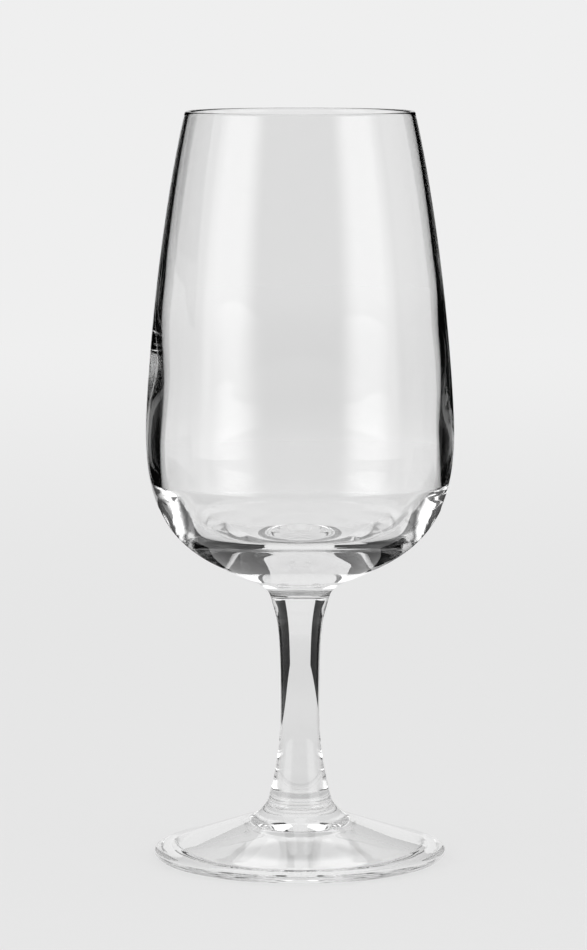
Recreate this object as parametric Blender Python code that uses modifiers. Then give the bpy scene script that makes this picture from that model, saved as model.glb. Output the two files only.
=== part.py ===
"""A stemmed tasting glass: a blown bowl, a drawn stem and a pressed foot, fused end to end."""

import math

import bpy
import numpy as np
from mathutils import Vector
from mathutils.geometry import interpolate_bezier

# Driving dimensions, in metres and radians.
WELD_GAP = 0.0003  # between two pieces that are fused end to end

FOOT_DIAMETER = 0.0606
FOOT_HEIGHT = 0.0124  # table to the weld with the stem
FOOT_EDGE_HEIGHT = 0.0015  # where the foot is widest
FOOT_EDGE_ROUND = 0.0026  # from the widest line in to the flat ring
FOOT_SHOULDER_WIDTH = 0.0036  # from the widest line in to where the cone starts to bend over the edge
FOOT_SHOULDER_HEIGHT = 0.0031
FOOT_CONE_HEIGHT = 0.0083  # where the cone meets the flare under the weld
FOOT_FLARE_WIDTH = 0.0048  # from the weld out to the cone
FOOT_RING_WIDTH = 0.003
FOOT_HOLLOW_DEPTH = 0.0044
FOOT_DISC_DIAMETER = 0.021
FOOT_DISC_DEPTH = 0.0005

LOWER_WELD_DIAMETER = 0.0131
STEM_LENGTH = 0.0418
STEM_WAIST_DIAMETER = 0.0081
STEM_WAIST_HEIGHT = 0.0204  # above the stem's lower end
STEM_FLARE_ANGLE = math.radians(14.5)  # of the stem's side from upright, at both welds
UPPER_WELD_DIAMETER = 0.0122

BOWL_HEIGHT = 0.1002
MOUTH_DIAMETER = 0.0474
MOUTH_TAPER_ANGLE = math.radians(12.9)  # of the outer wall from upright, at the rim
BELLY_DIAMETER = 0.0637
BELLY_HEIGHT = 0.0338  # above the bowl's lower end
BASE_CONE_DIAMETER = 0.0238  # where the conical base ends and the collar starts
BASE_CONE_HEIGHT = 0.0040
BASE_CONE_ANGLE = math.radians(25.0)
RIM_WALL = 0.0009
SHOULDER_WALL = 0.00175  # where the thin upper wall meets the straight part of the cavity
BELLY_WALL = 0.0031
FLOOR_THICKNESS = 0.0134
FLOOR_TAPER_HEIGHT = 0.0108  # above the floor, where the cavity's straight wall starts to draw in
FLOOR_TAPER_WIDTH = 0.0092  # how far the wall draws in, down to the edge of the flat floor

# How long each curve keeps the direction that it starts or ends with, in metres.
MOUTH_EASE = 0.0260
BELLY_UPPER_EASE = 0.0085
BELLY_LOWER_EASE = 0.0208
BASE_CONE_EASE = 0.0110
FLOOR_TAPER_EASE = 0.0008
FLOOR_CORNER_EASE = 0.0046
COLLAR_EASE = 0.0010
COLLAR_WELD_EASE = 0.0030
STEM_TOP_EASE = 0.0050
STEM_BOTTOM_EASE = 0.0078
WAIST_UPPER_EASE = 0.0170
WAIST_LOWER_EASE = 0.0094
FOOT_FLARE_EASE = 0.0022
FOOT_EDGE_EASE = 0.0010

# How finely each curve and each turn is divided.
OUTER_WALL_POINTS = 11
FINE_POINTS = 60
BASE_POINTS = 13
COLLAR_POINTS = 7
INNER_WALL_ROWS = 8
FLOOR_POINTS = 11
LIP_ROWS = 4
STEM_HALF_POINTS = 11
FLARE_POINTS = 8
BEND_POINTS = 6
EDGE_ROWS = 4
BOWL_STEPS = 64
STEM_STEPS = 40
FOOT_STEPS = 64
MERGE_DISTANCE = 0.00001

GLASS_COLOUR = (0.94, 0.95, 0.95, 1.0)
GLASS_ROUGHNESS = 0.02
GLASS_IOR = 1.52

# Places that follow from the sizes above.
FOOT_RADIUS = FOOT_DIAMETER / 2
LOWER_WELD_RADIUS = LOWER_WELD_DIAMETER / 2
WAIST_RADIUS = STEM_WAIST_DIAMETER / 2
UPPER_WELD_RADIUS = UPPER_WELD_DIAMETER / 2
MOUTH_RADIUS = MOUTH_DIAMETER / 2
BELLY_RADIUS = BELLY_DIAMETER / 2
CAVITY_RADIUS = BELLY_RADIUS - BELLY_WALL
STEM_BASE = FOOT_HEIGHT + WELD_GAP
BOWL_BASE = STEM_BASE + STEM_LENGTH + WELD_GAP


def leaning(angle, length):
    """A step upwards that leans outwards from upright by an angle."""
    return Vector((math.sin(angle), math.cos(angle))) * length


def sloping(angle, length):
    """A step outwards that climbs by an angle."""
    return Vector((math.cos(angle), math.sin(angle))) * length


def upright(length):
    return Vector((0.0, length))


def curve(start, leave, arrive, end, points):
    """A smooth curve in the profile's plane, with its two handles given as steps from its ends."""
    first = Vector(start)
    last = Vector(end)
    return interpolate_bezier(first, first + leave, last + arrive, last, points)


def radius_at(profile, height):
    """The radius of a profile that runs from top to bottom, at a height."""
    rising = profile[::-1]
    return float(np.interp(height, [point.y for point in rising], [point.x for point in rising]))


def height_at(profile, radius):
    """The height of a profile that widens from top to bottom, at a radius."""
    return float(np.interp(radius, [point.x for point in profile], [point.y for point in profile]))


def bowl_outer_wall(points):
    """The outer side from the rim, where the lip's round starts, down to the belly."""
    return curve(
        (MOUTH_RADIUS, BOWL_HEIGHT - RIM_WALL / 2),
        -leaning(-MOUTH_TAPER_ANGLE, MOUTH_EASE),
        upright(BELLY_UPPER_EASE),
        (BELLY_RADIUS, BELLY_HEIGHT),
        points,
    )


def bowl_outer_base():
    """The round and conical base, and the hollow collar that runs down into the weld."""
    cone_end = (BASE_CONE_DIAMETER / 2, BASE_CONE_HEIGHT)
    base = curve(
        (BELLY_RADIUS, BELLY_HEIGHT),
        upright(-BELLY_LOWER_EASE),
        sloping(BASE_CONE_ANGLE, BASE_CONE_EASE),
        cone_end,
        BASE_POINTS,
    )
    collar = curve(
        cone_end,
        -sloping(BASE_CONE_ANGLE, COLLAR_EASE),
        leaning(STEM_FLARE_ANGLE, COLLAR_WELD_EASE),
        (UPPER_WELD_RADIUS, 0.0),
        COLLAR_POINTS,
    )
    return base[1:] + collar[1:]


def bowl_inner_wall():
    """The thin wall that grows from just under the lip down to the straight part of the cavity."""
    outer = bowl_outer_wall(FINE_POINTS)
    top = BOWL_HEIGHT - RIM_WALL / 2
    shoulder = height_at(outer, CAVITY_RADIUS + SHOULDER_WALL)
    shoulder_wall = radius_at(outer, shoulder) - CAVITY_RADIUS
    points = []
    for row in range(INNER_WALL_ROWS + 1):
        share = row / INNER_WALL_ROWS
        height = top + (shoulder - top) * share
        wall = RIM_WALL + (shoulder_wall - RIM_WALL) * share
        points.append(Vector((radius_at(outer, height) - wall, height)))
    return points


def bowl_floor():
    """The taper under the cavity's straight wall, its round corner and the flat floor."""
    taper = curve(
        (CAVITY_RADIUS, FLOOR_THICKNESS + FLOOR_TAPER_HEIGHT),
        upright(-FLOOR_TAPER_EASE),
        sloping(0.0, FLOOR_CORNER_EASE),
        (CAVITY_RADIUS - FLOOR_TAPER_WIDTH, FLOOR_THICKNESS),
        FLOOR_POINTS,
    )
    return taper + [Vector((0.0, FLOOR_THICKNESS))]


def bowl_lip():
    """The fire-polished lip, a half round from the inner wall over to the outer wall."""
    half_wall = RIM_WALL / 2
    points = []
    for row in range(1, LIP_ROWS):
        angle = math.pi * row / LIP_ROWS
        radius = MOUTH_RADIUS - half_wall - half_wall * math.cos(angle)
        height = BOWL_HEIGHT - half_wall + half_wall * math.sin(angle)
        points.append(Vector((radius, height)))
    return points


def bowl_profile():
    inside = bowl_inner_wall() + bowl_floor()
    inside.reverse()
    outside = bowl_outer_wall(OUTER_WALL_POINTS) + bowl_outer_base()
    return inside + bowl_lip() + outside + [Vector((0.0, 0.0))]


def stem_profile():
    waist = (WAIST_RADIUS, STEM_WAIST_HEIGHT)
    upper = curve(
        (UPPER_WELD_RADIUS, STEM_LENGTH),
        -leaning(STEM_FLARE_ANGLE, STEM_TOP_EASE),
        upright(WAIST_UPPER_EASE),
        waist,
        STEM_HALF_POINTS,
    )
    lower = curve(
        waist,
        upright(-WAIST_LOWER_EASE),
        leaning(-STEM_FLARE_ANGLE, STEM_BOTTOM_EASE),
        (LOWER_WELD_RADIUS, 0.0),
        STEM_HALF_POINTS,
    )
    return [Vector((0.0, STEM_LENGTH))] + upper + lower[1:] + [Vector((0.0, 0.0))]


def foot_top():
    """The upper side: the flare under the weld, the cone and the bend over the edge."""
    shoulder = Vector((FOOT_RADIUS - FOOT_SHOULDER_WIDTH, FOOT_SHOULDER_HEIGHT))
    cone_top = Vector((LOWER_WELD_RADIUS + FOOT_FLARE_WIDTH, FOOT_CONE_HEIGHT))
    down_the_cone = (shoulder - cone_top).normalized()
    flare = curve(
        (LOWER_WELD_RADIUS, FOOT_HEIGHT),
        -leaning(-STEM_FLARE_ANGLE, FOOT_FLARE_EASE),
        -down_the_cone * FOOT_FLARE_EASE,
        cone_top,
        FLARE_POINTS,
    )
    bend = curve(
        shoulder,
        down_the_cone * FOOT_SHOULDER_WIDTH / 2,
        upright(FOOT_EDGE_EASE),
        (FOOT_RADIUS, FOOT_EDGE_HEIGHT),
        BEND_POINTS,
    )
    return flare + bend


def foot_underside():
    """The round below the widest line, the flat ring that stands on the table, and the hollow."""
    ring_outer = FOOT_RADIUS - FOOT_EDGE_ROUND
    ring_inner = ring_outer - FOOT_RING_WIDTH
    disc_radius = FOOT_DISC_DIAMETER / 2
    points = []
    for row in range(1, EDGE_ROWS + 1):
        angle = math.pi / 2 * row / EDGE_ROWS
        radius = ring_outer + FOOT_EDGE_ROUND * math.cos(angle)
        height = FOOT_EDGE_HEIGHT * (1 - math.sin(angle))
        points.append(Vector((radius, height)))
    points.append(Vector((ring_inner, 0.0)))
    points.append(Vector((disc_radius, FOOT_HOLLOW_DEPTH)))
    points.append(Vector((disc_radius - FOOT_DISC_DEPTH, FOOT_HOLLOW_DEPTH + FOOT_DISC_DEPTH)))
    points.append(Vector((0.0, FOOT_HOLLOW_DEPTH + FOOT_DISC_DEPTH)))
    return points


def foot_profile():
    return [Vector((0.0, FOOT_HEIGHT))] + foot_top() + foot_underside()


def glass_material(name):
    """Clear glass with a fire-polished surface."""
    material = bpy.data.materials.new(name)
    material.use_nodes = True
    shader = material.node_tree.nodes["Principled BSDF"]
    shader.inputs["Base Color"].default_value = GLASS_COLOUR
    shader.inputs["Roughness"].default_value = GLASS_ROUGHNESS
    shader.inputs["Metallic"].default_value = 0.0
    shader.inputs["IOR"].default_value = GLASS_IOR
    shader.inputs["Transmission Weight"].default_value = 1.0
    return material


def turned_piece(name, profile, base, steps, collection, parent):
    """A solid of revolution about Z, from a profile in the XZ plane, standing at a height."""
    mesh = bpy.data.meshes.new(name)
    edges = [(index, index + 1) for index in range(len(profile) - 1)]
    mesh.from_pydata([(point.x, 0.0, point.y) for point in profile], edges, [])
    piece = bpy.data.objects.new(name, mesh)
    collection.objects.link(piece)
    piece.parent = parent
    piece.location.z = base
    mesh.materials.append(glass_material(name + " glass"))
    screw = piece.modifiers.new("turn", "SCREW")
    screw.steps = steps
    screw.render_steps = steps
    screw.use_merge_vertices = True
    screw.merge_threshold = MERGE_DISTANCE
    screw.use_smooth_shade = True
    return piece


def main():
    for old in list(bpy.data.objects):
        bpy.data.objects.remove(old, do_unlink=True)
    collection = bpy.data.collections.new("tasting glass")
    bpy.context.scene.collection.children.link(collection)
    table_point = bpy.data.objects.new("table_point", None)
    collection.objects.link(table_point)
    turned_piece("foot", foot_profile(), 0.0, FOOT_STEPS, collection, table_point)
    turned_piece("stem", stem_profile(), STEM_BASE, STEM_STEPS, collection, table_point)
    turned_piece("bowl", bowl_profile(), BOWL_BASE, BOWL_STEPS, collection, table_point)


main()
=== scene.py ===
import math

import bpy
import numpy as np
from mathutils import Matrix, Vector
from mathutils.geometry import interpolate_bezier


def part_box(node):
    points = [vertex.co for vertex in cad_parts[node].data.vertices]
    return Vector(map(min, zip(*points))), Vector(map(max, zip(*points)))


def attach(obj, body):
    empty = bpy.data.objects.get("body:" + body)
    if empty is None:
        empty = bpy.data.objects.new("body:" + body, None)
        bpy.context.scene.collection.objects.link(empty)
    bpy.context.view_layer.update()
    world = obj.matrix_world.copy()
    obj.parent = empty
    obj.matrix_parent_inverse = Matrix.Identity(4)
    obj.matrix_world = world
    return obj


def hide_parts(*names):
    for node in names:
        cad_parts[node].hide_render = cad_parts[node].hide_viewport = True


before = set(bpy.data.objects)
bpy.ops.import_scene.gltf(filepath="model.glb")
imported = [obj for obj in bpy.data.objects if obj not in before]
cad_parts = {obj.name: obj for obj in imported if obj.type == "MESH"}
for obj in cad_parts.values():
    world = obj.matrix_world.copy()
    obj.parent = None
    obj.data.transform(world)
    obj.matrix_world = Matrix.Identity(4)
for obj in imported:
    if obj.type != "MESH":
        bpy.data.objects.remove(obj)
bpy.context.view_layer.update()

# Sizes that the frame gives, in metres. The fused pieces meet in the middle of the frame's weld gaps.
foot_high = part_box("foot")[1]
stem_low, stem_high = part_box("stem")
bowl_low, bowl_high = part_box("bowl")
LOWER_WELD_HEIGHT = (foot_high.z + stem_low.z) / 2
UPPER_WELD_HEIGHT = (stem_high.z + bowl_low.z) / 2
LOWER_WELD_RADIUS = stem_high.x
FOOT_RADIUS = foot_high.x
BELLY_RADIUS = bowl_high.x
RIM_HEIGHT = bowl_high.z

# Sizes of the foot.
FOOT_EDGE_HEIGHT = 0.0015  # where the foot is widest
FOOT_EDGE_ROUND = 0.0026  # from the widest line in to the flat ring
FOOT_SHOULDER_WIDTH = 0.0036  # from the widest line in to where the cone starts to bend over the edge
FOOT_SHOULDER_HEIGHT = 0.0031
FOOT_CONE_HEIGHT = 0.0083  # where the cone meets the flare under the weld
FOOT_FLARE_WIDTH = 0.0048  # from the weld out to the cone
FOOT_RING_WIDTH = 0.003
FOOT_HOLLOW_DEPTH = 0.0044
FOOT_DISC_RADIUS = 0.0105
FOOT_DISC_DEPTH = 0.0005
RING_ROUND_WIDTH = 0.0012  # how far the round at the ring's inner edge reaches into the ring
HOLLOW_ROUND_LENGTH = 0.0022  # how far the same round reaches up the hollow
DISC_ROUND_LENGTH = 0.0010  # how far below the disc's edge its round starts
DISC_ROUND_WIDTH = 0.0014  # how far inside the disc's edge its round ends

# Sizes of the stem. Angles are in radians.
UPPER_WELD_RADIUS = 0.0061
STEM_FLARE_ANGLE = math.radians(14.5)  # of the stem's side from upright, at both welds
WAIST_RADIUS = 0.00405
WAIST_HEIGHT = stem_low.z + 0.0204

# Sizes of the bowl.
MOUTH_RADIUS = 0.0237
MOUTH_TAPER_ANGLE = math.radians(12.9)  # of the outer wall from upright, at the rim
BELLY_HEIGHT = bowl_low.z + 0.0338
CONE_RADIUS = 0.0119  # where the conical base ends and the collar starts
CONE_HEIGHT = bowl_low.z + 0.0040
CONE_ANGLE = math.radians(25.0)
RIM_WALL = 0.0009
BELLY_WALL = 0.0031
CAVITY_RADIUS = BELLY_RADIUS - BELLY_WALL
SHOULDER_HEIGHT = bowl_low.z + 0.0560  # where the thin upper wall meets the straight part of the cavity
SHOULDER_EASE = 0.0006  # over what change of radius the two walls blend there
FLOOR_HEIGHT = bowl_low.z + 0.0134
FLOOR_TAPER_HEIGHT = 0.0108  # above the floor, where the cavity's straight wall starts to draw in
FLOOR_TAPER_WIDTH = 0.0092  # how far the wall draws in, down to the edge of the flat floor

# How long each curve keeps the direction that it starts or ends with, in metres.
MOUTH_EASE = 0.0260
BELLY_UPPER_EASE = 0.0085
BELLY_LOWER_EASE = 0.0208
CONE_EASE = 0.0110
COLLAR_EASE = 0.0010
COLLAR_WELD_EASE = 0.0030
FLOOR_TAPER_EASE = 0.0008
FLOOR_CORNER_EASE = 0.0046
STEM_TOP_EASE = 0.0050
STEM_BOTTOM_EASE = 0.0078
WAIST_UPPER_EASE = 0.0170
WAIST_LOWER_EASE = 0.0094
FOOT_FLARE_EASE = 0.0022
FOOT_EDGE_EASE = 0.0010
RING_EASE = 0.0016
DISC_OUTER_EASE = 0.0011
DISC_INNER_EASE = 0.0009

# How the glass round the cavity wanders sideways with height, in metres.
WANDER_MARGIN = 0.0005  # how far outside the cavity's straight wall it still wanders, below the belly
WANDER_MEAN = 0.00010
WANDER_WAVE = 0.00012
WANDER_WAVE_LENGTH = 0.025
WANDER_PEAK_HEIGHT = 0.0995
WANDER_TOP = 0.125
WANDER_TOP_FADE = 0.015
WANDER_FLOOR_FADE = 0.010
WANDER_SIDE_POWER = 4  # how sharply it fades from the bowl's left and right to its front and back

# How finely each curve and each turn is divided.
OUTER_WALL_POINTS = 60
MEASURING_POINTS = 400
BASE_POINTS = 44
COLLAR_POINTS = 14
INNER_WALL_POINTS = 90
FLOOR_TAPER_POINTS = 56
FLOOR_POINTS = 14
LIP_POINTS = 11
STEM_HALF_POINTS = 40
FLARE_POINTS = 24
CONE_POINTS = 14
BEND_POINTS = 20
EDGE_POINTS = 14
UNDERSIDE_POINTS = 16
HOLLOW_POINTS = 14
BOWL_STEPS = 288
STEM_STEPS = 192
FOOT_STEPS = 288
START_SIZE = 0.001  # of the plane that is merged into a profile's first point
MERGE_DISTANCE = 0.000002
SMOOTH_ANGLE = math.radians(40.0)
FLAT_NORMAL = 0.99  # a face whose normal points up or down by more than this is flat


def leaning(angle, length):
    """A step upwards that leans outwards from upright by an angle."""
    return Vector((math.sin(angle), math.cos(angle))) * length


def sloping(angle, length):
    """A step outwards that climbs by an angle."""
    return Vector((math.cos(angle), math.sin(angle))) * length


def upright(length):
    return Vector((0.0, length))


def level(length):
    return Vector((length, 0.0))


def curve(start, leave, arrive, end, points):
    """A smooth curve in the profile's plane, with its two handles given as steps from its ends."""
    first = Vector(start)
    last = Vector(end)
    return interpolate_bezier(first, first + leave, last + arrive, last, points)


def straight(start, end, points):
    return [start.lerp(end, share) for share in np.linspace(0.0, 1.0, points)]


def outer_wall(points):
    """The bowl's outer side from the lip down to the belly."""
    return curve(
        (MOUTH_RADIUS, RIM_HEIGHT - RIM_WALL / 2),
        -leaning(-MOUTH_TAPER_ANGLE, MOUTH_EASE),
        upright(BELLY_UPPER_EASE),
        (BELLY_RADIUS, BELLY_HEIGHT),
        points,
    )


def outer_base():
    """The bowl's round and conical base, and the hollow collar down to the weld."""
    cone_end = (CONE_RADIUS, CONE_HEIGHT)
    base = curve(
        (BELLY_RADIUS, BELLY_HEIGHT),
        upright(-BELLY_LOWER_EASE),
        sloping(CONE_ANGLE, CONE_EASE),
        cone_end,
        BASE_POINTS,
    )
    collar = curve(
        cone_end,
        -sloping(CONE_ANGLE, COLLAR_EASE),
        leaning(STEM_FLARE_ANGLE, COLLAR_WELD_EASE),
        (UPPER_WELD_RADIUS, UPPER_WELD_HEIGHT),
        COLLAR_POINTS,
    )
    return base[1:] + collar[1:]


def outer_radius(heights):
    """The radius of the bowl's outer side at heights above the belly."""
    rising = outer_wall(MEASURING_POINTS)[::-1]
    return np.interp(heights, [point.y for point in rising], [point.x for point in rising])


def inner_wall():
    """The cavity's side: a thin wall that grows from the lip, easing into the straight lower part."""
    top = RIM_HEIGHT - RIM_WALL / 2
    bottom = FLOOR_HEIGHT + FLOOR_TAPER_HEIGHT
    heights = np.linspace(top, bottom, INNER_WALL_POINTS)
    growth = (outer_radius(SHOULDER_HEIGHT) - CAVITY_RADIUS - RIM_WALL) / (top - SHOULDER_HEIGHT)
    thin = outer_radius(heights) - RIM_WALL - growth * (top - heights)
    share = np.clip(0.5 + 0.5 * (CAVITY_RADIUS - thin) / SHOULDER_EASE, 0.0, 1.0)
    radii = CAVITY_RADIUS + (thin - CAVITY_RADIUS) * share - SHOULDER_EASE * share * (1 - share)
    return [Vector((radius, height)) for radius, height in zip(radii, heights)]


def cavity_floor():
    """The taper under the straight wall, its round corner and the flat floor."""
    edge = Vector((CAVITY_RADIUS - FLOOR_TAPER_WIDTH, FLOOR_HEIGHT))
    taper = curve(
        (CAVITY_RADIUS, FLOOR_HEIGHT + FLOOR_TAPER_HEIGHT),
        upright(-FLOOR_TAPER_EASE),
        level(FLOOR_CORNER_EASE),
        edge,
        FLOOR_TAPER_POINTS,
    )
    return taper[1:] + straight(edge, upright(FLOOR_HEIGHT), FLOOR_POINTS)[1:]


def lip():
    """The fire-polished lip, a half round from the inner wall over to the outer wall."""
    half_wall = RIM_WALL / 2
    points = []
    for angle in np.linspace(0.0, math.pi, LIP_POINTS)[1:-1]:
        radius = MOUTH_RADIUS - half_wall - half_wall * math.cos(angle)
        points.append(Vector((radius, RIM_HEIGHT - half_wall + half_wall * math.sin(angle))))
    return points


def bowl_profile():
    inside = inner_wall() + cavity_floor()
    inside.reverse()
    outside = outer_wall(OUTER_WALL_POINTS) + outer_base()
    return inside + lip() + outside + [upright(UPPER_WELD_HEIGHT)]


def stem_profile():
    waist = (WAIST_RADIUS, WAIST_HEIGHT)
    upper = curve(
        (UPPER_WELD_RADIUS, UPPER_WELD_HEIGHT),
        -leaning(STEM_FLARE_ANGLE, STEM_TOP_EASE),
        upright(WAIST_UPPER_EASE),
        waist,
        STEM_HALF_POINTS,
    )
    lower = curve(
        waist,
        upright(-WAIST_LOWER_EASE),
        leaning(-STEM_FLARE_ANGLE, STEM_BOTTOM_EASE),
        (LOWER_WELD_RADIUS, LOWER_WELD_HEIGHT),
        STEM_HALF_POINTS,
    )
    return [upright(UPPER_WELD_HEIGHT)] + upper + lower[1:] + [upright(LOWER_WELD_HEIGHT)]


def foot_top():
    """The foot's upper side: the flare under the weld, the cone and the bend over the edge."""
    shoulder = Vector((FOOT_RADIUS - FOOT_SHOULDER_WIDTH, FOOT_SHOULDER_HEIGHT))
    cone_top = Vector((LOWER_WELD_RADIUS + FOOT_FLARE_WIDTH, FOOT_CONE_HEIGHT))
    down = (shoulder - cone_top).normalized()
    flare = curve(
        (LOWER_WELD_RADIUS, LOWER_WELD_HEIGHT),
        -leaning(-STEM_FLARE_ANGLE, FOOT_FLARE_EASE),
        -down * FOOT_FLARE_EASE,
        cone_top,
        FLARE_POINTS,
    )
    bend = curve(
        shoulder,
        down * FOOT_SHOULDER_WIDTH / 2,
        upright(FOOT_EDGE_EASE),
        (FOOT_RADIUS, FOOT_EDGE_HEIGHT),
        BEND_POINTS,
    )
    return flare + straight(cone_top, shoulder, CONE_POINTS)[1:] + bend[1:]


def foot_edge():
    """The round below the foot's widest line, down to the flat ring that it stands on."""
    ring_outer = FOOT_RADIUS - FOOT_EDGE_ROUND
    points = []
    for angle in np.linspace(0.0, math.pi / 2, EDGE_POINTS)[1:]:
        radius = ring_outer + FOOT_EDGE_ROUND * math.cos(angle)
        points.append(Vector((radius, FOOT_EDGE_HEIGHT * (1 - math.sin(angle)))))
    return points


def foot_underside():
    """The hollow inside the flat ring and the pressed disc in its middle, with their edges rounded."""
    ring_edge = level(FOOT_RADIUS - FOOT_EDGE_ROUND - FOOT_RING_WIDTH)
    disc_edge = Vector((FOOT_DISC_RADIUS, FOOT_HOLLOW_DEPTH))
    disc_height = FOOT_HOLLOW_DEPTH + FOOT_DISC_DEPTH
    up = (disc_edge - ring_edge).normalized()
    hollow_start = ring_edge + up * HOLLOW_ROUND_LENGTH
    hollow_end = disc_edge - up * DISC_ROUND_LENGTH
    ring_round = curve(
        ring_edge + level(RING_ROUND_WIDTH),
        level(-RING_EASE),
        -up * RING_EASE,
        hollow_start,
        UNDERSIDE_POINTS,
    )
    disc_round = curve(
        hollow_end,
        up * DISC_OUTER_EASE,
        level(DISC_INNER_EASE),
        (FOOT_DISC_RADIUS - DISC_ROUND_WIDTH, disc_height),
        UNDERSIDE_POINTS,
    )
    hollow = straight(hollow_start, hollow_end, HOLLOW_POINTS)
    return ring_round + hollow[1:] + disc_round[1:] + [upright(disc_height)]


def foot_profile():
    return [upright(LOWER_WELD_HEIGHT)] + foot_top() + foot_edge() + foot_underside()


def turned(name, profile, steps):
    """A solid of revolution: a chain of points is drawn beside the axis and spun round it."""
    bpy.ops.object.select_all(action="DESELECT")
    first = profile[0]
    bpy.ops.mesh.primitive_plane_add(size=START_SIZE, location=(first.x, 0.0, first.y))
    piece = bpy.context.object
    piece.name = name
    piece.data.name = name
    bpy.ops.object.transform_apply(location=True, rotation=True, scale=True)
    bpy.ops.object.mode_set(mode="EDIT")
    bpy.ops.mesh.select_all(action="SELECT")
    bpy.ops.mesh.merge(type="CENTER")
    for here, there in zip(profile, profile[1:]):
        step = there - here
        bpy.ops.mesh.extrude_region_move(TRANSFORM_OT_translate={"value": (step.x, 0.0, step.y)})
    bpy.ops.mesh.select_all(action="SELECT")
    bpy.ops.mesh.spin(steps=steps, angle=math.tau, center=(0.0, 0.0, 0.0), axis=(0.0, 0.0, 1.0))
    bpy.ops.mesh.select_all(action="SELECT")
    bpy.ops.mesh.remove_doubles(threshold=MERGE_DISTANCE)
    bpy.ops.mesh.normals_make_consistent(inside=False)
    bpy.ops.object.mode_set(mode="OBJECT")
    bpy.ops.object.shade_smooth_by_angle(angle=SMOOTH_ANGLE)
    return piece


def uneven_cavity(bowl):
    """Blowing leaves the cavity's wall a little uneven, and the outside of the base beside its floor too.

    Both shift sideways at the bowl's left and right, by a different step at each height.
    """
    count = len(bowl.data.vertices)
    places = np.empty(count * 3, np.float32)
    bowl.data.vertices.foreach_get("co", places)
    places = places.reshape(-1, 3)
    z = places[:, 2]
    radius = np.hypot(places[:, 0], places[:, 1])
    just_outside = CAVITY_RADIUS + WANDER_MARGIN
    inside = radius < np.where(z > BELLY_HEIGHT, outer_radius(z) - RIM_WALL / 2, just_outside)
    turn = math.tau * (z - WANDER_PEAK_HEIGHT) / WANDER_WAVE_LENGTH
    wander = WANDER_MEAN + WANDER_WAVE * np.cos(turn)
    above = np.clip((WANDER_TOP - z) / WANDER_TOP_FADE, 0.0, 1.0)
    below = np.clip((z - FLOOR_HEIGHT) / WANDER_FLOOR_FADE, 0.0, 1.0)
    aside = (places[:, 0] / np.maximum(radius, MERGE_DISTANCE)) ** WANDER_SIDE_POWER
    places[:, 0] += inside * wander * above * below * aside
    bowl.data.vertices.foreach_set("co", places.ravel())
    bowl.data.update()


def linear(code):
    """An sRGB hex colour as linear red, green, blue and alpha."""
    channels = [int(code[place : place + 2], 16) / 255 for place in (0, 2, 4)]
    scaled = [c / 12.92 if c <= 0.04045 else ((c + 0.055) / 1.055) ** 2.4 for c in channels]
    return (*scaled, 1.0)


def add(tree, kind, settings=None, inputs=None, links=None):
    """A node with its settings, its socket values and its links from other nodes' outputs."""
    node = tree.nodes.new(kind)
    for key, value in (settings or {}).items():
        setattr(node, key, value)
    for socket, value in (inputs or {}).items():
        node.inputs[socket].default_value = value
    for socket, source in (links or {}).items():
        tree.links.new(source, node.inputs[socket])
    return node


def blank_material(name):
    material = bpy.data.materials.new(name)
    material.use_nodes = True
    material.node_tree.nodes.clear()
    return material


GLASS_IOR = 1.52
FILM_PATCH = 1 / 30  # a thirtieth of a metre, about two finger widths
FILM_STARTS = 0.45  # of the noise that lays the film out, and the same where the film is full
FILM_IS_FULL = 0.75
FILM_ROUGHNESS = 0.05


def clear_glass(name, colour, wave_lengths, wave_height):
    """Clear glass with shallow waves in its surface, of given lengths along x, y and z, in metres."""
    material = blank_material(name)
    tree = material.node_tree
    place = add(tree, "ShaderNodeTexCoord").outputs["Object"]
    stretched = add(
        tree, "ShaderNodeVectorMath", {"operation": "DIVIDE"}, {1: wave_lengths}, {0: place}
    ).outputs[0]
    waves = add(
        tree, "ShaderNodeTexNoise", inputs={"Scale": 1.0, "Detail": 1.0}, links={"Vector": stretched}
    )
    surface = add(
        tree,
        "ShaderNodeBump",
        inputs={"Strength": 1.0, "Distance": wave_height},
        links={"Height": waves.outputs[0]},
    )
    # Handling leaves a faint film in patches.
    film = add(
        tree,
        "ShaderNodeTexNoise",
        inputs={"Scale": 1 / FILM_PATCH, "Detail": 3.0},
        links={"Vector": place},
    )
    roughness = add(
        tree,
        "ShaderNodeMapRange",
        inputs={"From Min": FILM_STARTS, "From Max": FILM_IS_FULL, "To Min": 0.0, "To Max": FILM_ROUGHNESS},
        links={"Value": film.outputs[0]},
    )
    shader = add(
        tree,
        "ShaderNodeBsdfPrincipled",
        inputs={"Base Color": linear(colour), "IOR": GLASS_IOR, "Transmission Weight": 1.0},
        links={"Roughness": roughness.outputs[0], "Normal": surface.outputs[0]},
    )
    add(tree, "ShaderNodeOutputMaterial", links={"Surface": shader.outputs[0]})
    return material


def fused_weld():
    """Fused glass has no surface at a weld, so nothing shows there."""
    material = blank_material("fused weld")
    tree = material.node_tree
    shader = add(tree, "ShaderNodeBsdfTransparent")
    add(tree, "ShaderNodeOutputMaterial", links={"Surface": shader.outputs[0]})
    return material


def finish_piece(piece, node, glass, weld, weld_heights):
    """Gives a piece its glass, clears its flat weld faces and sets it in its node's place."""
    piece.data.materials.append(glass)
    piece.data.materials.append(weld)
    for face in piece.data.polygons:
        is_flat = abs(face.normal.z) > FLAT_NORMAL
        for height in weld_heights:
            if is_flat and abs(face.center.z - height) < MERGE_DISTANCE:
                face.material_index = 1
    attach(piece, "root")
    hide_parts(node)


bowl = turned("clear_bowl", bowl_profile(), BOWL_STEPS)
stem = turned("clear_stem", stem_profile(), STEM_STEPS)
foot = turned("clear_foot", foot_profile(), FOOT_STEPS)
uneven_cavity(bowl)
weld = fused_weld()
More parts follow.
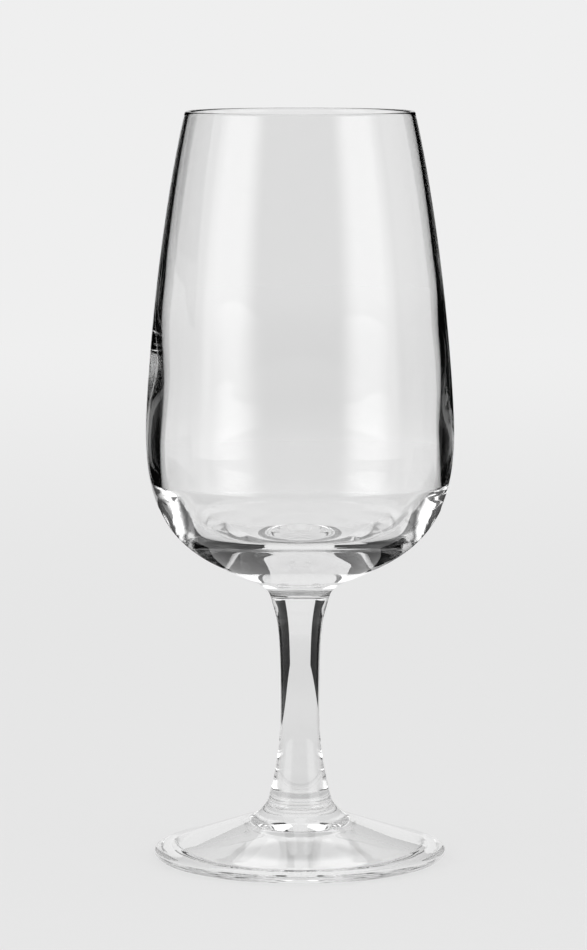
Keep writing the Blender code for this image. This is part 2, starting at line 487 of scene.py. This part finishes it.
# Blowing leaves long shallow waves, so that the edges of the highlights waver a little.
blown = clear_glass("blown soda-lime glass", "FCFCFC", (0.018, 0.018, 0.035), 0.000030)
# Drawing the stem out leaves faint lines along it, which draw its reflections out lengthwise.
drawn = clear_glass("drawn soda-lime glass", "F5F5F5", (0.0016, 0.0016, 0.030), 0.000003)
# The cold mould leaves shallow ripples in the foot, which soften what shows through it.
pressed = clear_glass("pressed soda-lime glass", "F9F9F9", (0.006, 0.006, 0.006), 0.000025)
finish_piece(bowl, "bowl", blown, weld, [UPPER_WELD_HEIGHT])
finish_piece(stem, "stem", drawn, weld, [UPPER_WELD_HEIGHT, LOWER_WELD_HEIGHT])
finish_piece(foot, "foot", pressed, weld, [LOWER_WELD_HEIGHT])

# The stage is pale all round to the camera. Light that the glass has mirrored finds it darker, and some of
# the light that was mirrored or bent finds cards and strips, which draw the glass's dark lines. The tests
# below tell such light apart, by how often it was mirrored (Glossy Depth) and how many surfaces it passed
# through (Transmission Depth).
MIRRORED = ("Glossy Depth", "GREATER_THAN", 0.5)
NOT_MIRRORED = ("Glossy Depth", "LESS_THAN", 0.5)
MIRRORED_ONCE_AT_MOST = ("Glossy Depth", "LESS_THAN", 1.5)
WENT_IN = ("Transmission Depth", "GREATER_THAN", 0.5)
ONE_WALL_AT_MOST = ("Transmission Depth", "LESS_THAN", 2.5)

PALE = linear("EFEFEF")
DIM = linear("6C6C6C")
# How far backwards a level heading points, from one for straight back, where the dim surroundings start
# and where they are full: to light mirrored off the outside of the glass, and to light mirrored inside it.
DIM_STARTS = (0.86, 0.05)
DIM_IS_FULL = (0.78, -0.10)

FLOOR_RADIUS = 6.0
FLOOR_SIDES = 96
FLOOR_GLOW = linear("D4D4D4")
FLOOR_COLOUR = linear("6A6A6A")
SWEEP_REACH = (0.20, 1.30)  # where the floor starts to turn into the backdrop, and where it has
DIM_FLOOR_REACH = (0.16, 0.30)  # where a mirrored floor starts to dim, and where it has
# A painted ring of light on the floor under the foot, with a painted darker middle inside it:
RING_INNER_REACH = (0.008, 0.016)  # the ring of light under the foot: its inner edge
RING_OUTER_REACH = (0.024, 0.030)  # and its outer edge
PAINTED_DARK_MIDDLE_GLOW = 0.82
PAINTED_RING_GLOW = 1.24


def passes(tree, test):
    """One for a ray whose count on Light Path passes a test, and nought for any other."""
    count, operation, limit = test
    path = add(tree, "ShaderNodeLightPath").outputs
    return add(tree, "ShaderNodeMath", {"operation": operation}, {1: limit}, {0: path[count]}).outputs[0]


def dim_surroundings(tree, direction):
    """How dim the surroundings are to a ray, from nought for the pale backdrop to one.

    Only a ray that a glass surface has mirrored sees them dim. One that was mirrored off the outside
    finds the backdrop between the cards alone, and one that was mirrored inside the glass finds pale
    sides too.
    """
    was_mirrored = passes(tree, MIRRORED)
    was_inside = passes(tree, WENT_IN)
    flat = add(
        tree, "ShaderNodeVectorMath", {"operation": "MULTIPLY"}, {1: (1.0, 1.0, 0.0)}, {0: direction}
    ).outputs[0]
    heading = add(tree, "ShaderNodeVectorMath", {"operation": "NORMALIZE"}, links={0: flat}).outputs[0]
    backwards = add(tree, "ShaderNodeSeparateXYZ", links={0: heading}).outputs["Y"]
    ends = []
    for outside, inside in (DIM_STARTS, DIM_IS_FULL):
        ends.append(
            add(
                tree,
                "ShaderNodeMapRange",
                inputs={"To Min": outside, "To Max": inside},
                links={"Value": was_inside},
            ).outputs[0]
        )
    aside = add(
        tree,
        "ShaderNodeMapRange",
        {"interpolation_type": "SMOOTHSTEP"},
        links={"Value": backwards, "From Min": ends[0], "From Max": ends[1]},
    ).outputs[0]
    return add(
        tree, "ShaderNodeMath", {"operation": "MULTIPLY"}, links={0: aside, 1: was_mirrored}
    ).outputs[0]


def glowing_acrylic():
    """White acrylic that glows a little from below, so that the shadow under the foot stays faint. Under
    the foot its glow has a painted ring of light and a painted darker middle.
    """
    material = blank_material("pale floor")
    tree = material.node_tree
    place = add(tree, "ShaderNodeTexCoord").outputs["Object"]
    reach = add(tree, "ShaderNodeVectorMath", {"operation": "LENGTH"}, links={0: place}).outputs["Value"]
    far, edge = [
        add(
            tree,
            "ShaderNodeMapRange",
            {"interpolation_type": "SMOOTHSTEP"},
            {"From Min": start, "From Max": end},
            {"Value": reach},
        ).outputs[0]
        for start, end in (SWEEP_REACH, DIM_FLOOR_REACH)
    ]
    # Painted light and shade on the floor under the foot: the glow is painted brighter in a ring under the
    # sloping foot, as if the foot gathered light there, and darker in the middle under its disc.
    painted_middle_and_ring = add(
        tree,
        "ShaderNodeMapRange",
        {"interpolation_type": "SMOOTHSTEP"},
        {
            "From Min": RING_INNER_REACH[0],
            "From Max": RING_INNER_REACH[1],
            "To Min": PAINTED_DARK_MIDDLE_GLOW,
            "To Max": PAINTED_RING_GLOW,
        },
        {"Value": reach},
    ).outputs[0]
    ring = add(
        tree,
        "ShaderNodeMapRange",
        {"interpolation_type": "SMOOTHSTEP"},
        {"From Min": RING_OUTER_REACH[0], "From Max": RING_OUTER_REACH[1], "To Max": 1.0},
        {"Value": reach, "To Min": painted_middle_and_ring},
    ).outputs[0]
    glow = add(tree, "ShaderNodeEmission", inputs={"Color": FLOOR_GLOW}, links={"Strength": ring})
    surface = add(tree, "ShaderNodeBsdfDiffuse", inputs={"Color": FLOOR_COLOUR})
    near = add(tree, "ShaderNodeAddShader", links={0: glow.outputs[0], 1: surface.outputs[0]})
    sweep = add(tree, "ShaderNodeEmission", inputs={"Color": PALE, "Strength": 1.0})
    both = add(tree, "ShaderNodeMixShader", links={0: far, 1: near.outputs[0], 2: sweep.outputs[0]})
    dim = add(tree, "ShaderNodeEmission", inputs={"Color": DIM, "Strength": 1.0})
    share = add(
        tree,
        "ShaderNodeMath",
        {"operation": "MULTIPLY"},
        links={0: edge, 1: dim_surroundings(tree, place)},
    ).outputs[0]
    seen = add(tree, "ShaderNodeMixShader", links={0: share, 1: both.outputs[0], 2: dim.outputs[0]})
    add(tree, "ShaderNodeOutputMaterial", links={"Surface": seen.outputs[0]})
    return material


def pale_floor():
    bpy.ops.object.select_all(action="DESELECT")
    bpy.ops.mesh.primitive_circle_add(
        vertices=FLOOR_SIDES, radius=FLOOR_RADIUS, fill_type="NGON", location=(0.0, 0.0, 0.0)
    )
    floor = bpy.context.object
    floor.name = "pale_floor"
    floor.data.materials.append(glowing_acrylic())


def studio_world():
    """A pale backdrop all round, but dim at the sides and the front where the glass mirrors it."""
    world = bpy.data.worlds.new("studio")
    bpy.context.scene.world = world
    world.use_nodes = True
    tree = world.node_tree
    tree.nodes.clear()
    share = dim_surroundings(tree, add(tree, "ShaderNodeTexCoord").outputs["Generated"])
    pale = add(tree, "ShaderNodeBackground", inputs={"Color": PALE, "Strength": 1.0})
    dim = add(tree, "ShaderNodeBackground", inputs={"Color": DIM, "Strength": 1.0})
    both = add(tree, "ShaderNodeMixShader", links={0: share, 1: pale.outputs[0], 2: dim.outputs[0]})
    add(tree, "ShaderNodeOutputWorld", links={"Surface": both.outputs[0]})


def panel(name, width, height, place, turn, material, **shown):
    """An upright stage panel that faces the glass."""
    bpy.ops.object.select_all(action="DESELECT")
    bpy.ops.mesh.primitive_plane_add(size=1.0, location=place, rotation=(math.pi / 2, 0.0, turn))
    board = bpy.context.object
    board.name = name
    board.scale = (width, height, 1.0)
    board.data.materials.append(material)
    for key, value in shown.items():
        setattr(board, "visible_" + key, value)
    return board


def card(name, strength, *tests):
    """A card that shows to the rays that pass all its tests, and is clear to others."""
    material = blank_material(name)
    tree = material.node_tree
    surface = add(tree, "ShaderNodeEmission", inputs={"Strength": strength})
    for test in tests:
        passed = passes(tree, test)
        clear = add(tree, "ShaderNodeBsdfTransparent")
        surface = add(
            tree, "ShaderNodeMixShader", links={0: passed, 1: clear.outputs[0], 2: surface.outputs[0]}
        )
    add(tree, "ShaderNodeOutputMaterial", links={"Surface": surface.outputs[0]})
    return material


# Cards and strips light nothing but the glass.
HIDDEN = {"camera": False, "diffuse": False, "shadow": False}
BLACK_STRENGTH = 0.002
WHITE_STRENGTH = 1.6
PALE_STRENGTH = 0.8


def side_cards(low_card, high_card):
    """Two upright black cards, behind the glass on its left and right, each in a low and a high part."""
    # Name, material, x, nearest and furthest y, bottom and top.
    for name, material, x, near, far, bottom, top in (
        ("left_low_card", low_card, -0.16, 0.092, 0.600, 0.0, 0.105),
        ("left_high_card", high_card, -0.16, 0.092, 0.600, 0.105, 0.30),
        ("right_low_card", low_card, 0.093, 0.045, 0.350, 0.0, 0.088),
        ("right_high_card", high_card, 0.093, 0.045, 0.350, 0.088, 0.30),
    ):
        place = (x, (near + far) / 2, (top + bottom) / 2)
        panel(name, far - near, top - bottom, place, math.pi / 2, material, **HIDDEN)


def facing(degrees, distance, height):
    """A place at a distance from the glass's axis, turned from straight back towards the right."""
    angle = math.radians(degrees)
    return (distance * math.sin(angle), distance * math.cos(angle), height)


def strips(stem_card, low_card, base_card, foot_card):
    """Strips behind the glass, close to it.

    The stem bends the light of the far black strips into its stripes. The near black strips darken the
    bowl's thick base by light that was mirrored there. The white ones light the sides of the base and the
    pale ones the neck of the foot, both only by light that was mirrored once inside the glass.
    """
    # Name, material, turn, distance, left and right ends, bottom at each end, and top.
    for name, material, degrees, distance, left, right, left_bottom, right_bottom, top in (
        ("left_strip", stem_card, -45.0, 0.110, -0.0320, 0.0470, 0.0096, 0.0250, 0.0850),
        ("right_strip", stem_card, 45.0, 0.110, -0.0500, 0.0500, 0.0250, -0.0090, 0.0850),
        ("left_near_strip", low_card, -45.0, 0.055, -0.0160, 0.0235, 0.0190, 0.0340, 0.0660),
        ("right_near_strip", low_card, 45.0, 0.055, -0.0250, 0.0250, 0.0340, 0.0010, 0.0660),
        ("left_white_strip", base_card, -35.0, 0.050, -0.0200, 0.0240, 0.0540, 0.0540, 0.0745),
        ("right_white_strip", base_card, 35.0, 0.050, -0.0240, 0.0200, 0.0540, 0.0540, 0.0745),
        ("left_pale_strip", foot_card, -35.0, 0.045, -0.0280, 0.0280, 0.0, 0.0, 0.0380),
        ("right_pale_strip", foot_card, 35.0, 0.045, -0.0280, 0.0280, 0.0, 0.0, 0.0380),
    ):
        place = facing(degrees, distance, 0.0)
        strip = panel(name, 1.0, 1.0, place, -math.radians(degrees), material, **HIDDEN)
        corners = ((left, left_bottom), (right, right_bottom), (left, top), (right, top))
        for vertex, corner in zip(strip.data.vertices, corners):
            vertex.co = (*corner, 0.0)


SOFT_BOX_DISTANCE = 0.50
SOFT_BOX_WIDTH = 0.55
SOFT_BOX_HEIGHT = 0.40
SOFT_BOX_STRENGTH = 2.4
SOFT_BOX_LOWER_LEVEL = 0.65


def soft_light():
    """A soft box that stands on the floor: bright in the middle, soft at its sides and top, dimmer below.

    It lights the floor and shows to light that was mirrored, but not straight through the glass.
    """
    material = blank_material("soft box")
    tree = material.node_tree
    place = add(tree, "ShaderNodeTexCoord").outputs["Object"]
    sides = add(tree, "ShaderNodeSeparateXYZ", links={0: place}).outputs
    aside = add(tree, "ShaderNodeMath", {"operation": "ABSOLUTE"}, links={0: sides["X"]}).outputs[0]
    shader = add(tree, "ShaderNodeEmission", inputs={"Strength": SOFT_BOX_STRENGTH})
    clear = add(tree, "ShaderNodeBsdfTransparent")
    # Across the box, then up and down it, from its middle and as shares of its size: where it is at its
    # least, where it is full, and how much the least is.
    for off, edge, full, least in (
        (aside, 0.5, 0.15, 0.0),
        (sides["Y"], 0.5, 0.36, 0.0),
        (sides["Y"], -0.5, 0.0, SOFT_BOX_LOWER_LEVEL),
    ):
        share = add(
            tree,
            "ShaderNodeMapRange",
            {"interpolation_type": "SMOOTHSTEP"},
            {"From Min": edge, "From Max": full, "To Min": least, "To Max": 1.0},
            {"Value": off},
        ).outputs[0]
        shader = add(
            tree, "ShaderNodeMixShader", links={0: share, 1: clear.outputs[0], 2: shader.outputs[0]}
        )
    path = add(tree, "ShaderNodeLightPath").outputs
    beside = add(
        tree, "ShaderNodeMath", {"operation": "SUBTRACT"}, {0: 1.0}, {1: path["Is Transmission Ray"]}
    ).outputs[0]
    shown = add(
        tree, "ShaderNodeMath", {"operation": "MAXIMUM"}, links={0: beside, 1: passes(tree, MIRRORED)}
    ).outputs[0]
    shader = add(tree, "ShaderNodeMixShader", links={0: shown, 1: clear.outputs[0], 2: shader.outputs[0]})
    add(tree, "ShaderNodeOutputMaterial", links={"Surface": shader.outputs[0]})
    return material


def soft_boxes():
    """Two soft boxes in front of the glass, on its left and right, for the two long highlights."""
    white = soft_light()
    for name, degrees in (("left_soft_box", -119.8), ("right_soft_box", 122.4)):
        place = facing(degrees, SOFT_BOX_DISTANCE, SOFT_BOX_HEIGHT / 2)
        turn = -math.radians(degrees)
        panel(name, SOFT_BOX_WIDTH, SOFT_BOX_HEIGHT, place, turn, white, camera=False)


pale_floor()
studio_world()
high_card = card("black card that glass mirrors", BLACK_STRENGTH, MIRRORED)
low_card = card("black card that one wall mirrors", BLACK_STRENGTH, ONE_WALL_AT_MOST, MIRRORED)
stem_card = card("black card that the stem bends", BLACK_STRENGTH, ONE_WALL_AT_MOST, NOT_MIRRORED)
once_inside = (WENT_IN, ONE_WALL_AT_MOST, MIRRORED, MIRRORED_ONCE_AT_MOST)
base_card = card("white card that the base mirrors", WHITE_STRENGTH, *once_inside)
foot_card = card("pale card that the foot mirrors", PALE_STRENGTH, *once_inside)
side_cards(low_card, high_card)
strips(stem_card, low_card, base_card, foot_card)
soft_boxes()

# The camera stands in front of the glass, a little above its rim, and looks slightly down.
VIEW_DISTANCE = 0.900
VIEW_HEIGHT = 0.182
VIEW_PITCH = math.radians(6.465)
VIEW_YAW = math.radians(0.085)
FOCAL_PIXELS = 4385  # the focal length, in pixels of a picture whose long side is the next value
LONG_SIDE_PIXELS = 950
SENSOR_WIDTH = 36.0  # millimetres
LIGHT_BOUNCES = 32

camera_data = bpy.data.cameras.new("camera")
camera_data.sensor_width = SENSOR_WIDTH
camera_data.lens = SENSOR_WIDTH * FOCAL_PIXELS / LONG_SIDE_PIXELS
camera_data.clip_start = 0.01
camera = bpy.data.objects.new("camera", camera_data)
camera.location = (0.0, -VIEW_DISTANCE, VIEW_HEIGHT)
camera.rotation_euler = (math.pi / 2 - VIEW_PITCH, 0.0, VIEW_YAW)

scene = bpy.context.scene
scene.collection.objects.link(camera)
scene.camera = camera
scene.view_settings.view_transform = "Standard"
# Light passes many surfaces in the thick base and the foot before it leaves the glass.
scene.cycles.max_bounces = LIGHT_BOUNCES
scene.cycles.glossy_bounces = LIGHT_BOUNCES
scene.cycles.transmission_bounces = LIGHT_BOUNCES
scene.cycles.transparent_max_bounces = LIGHT_BOUNCES
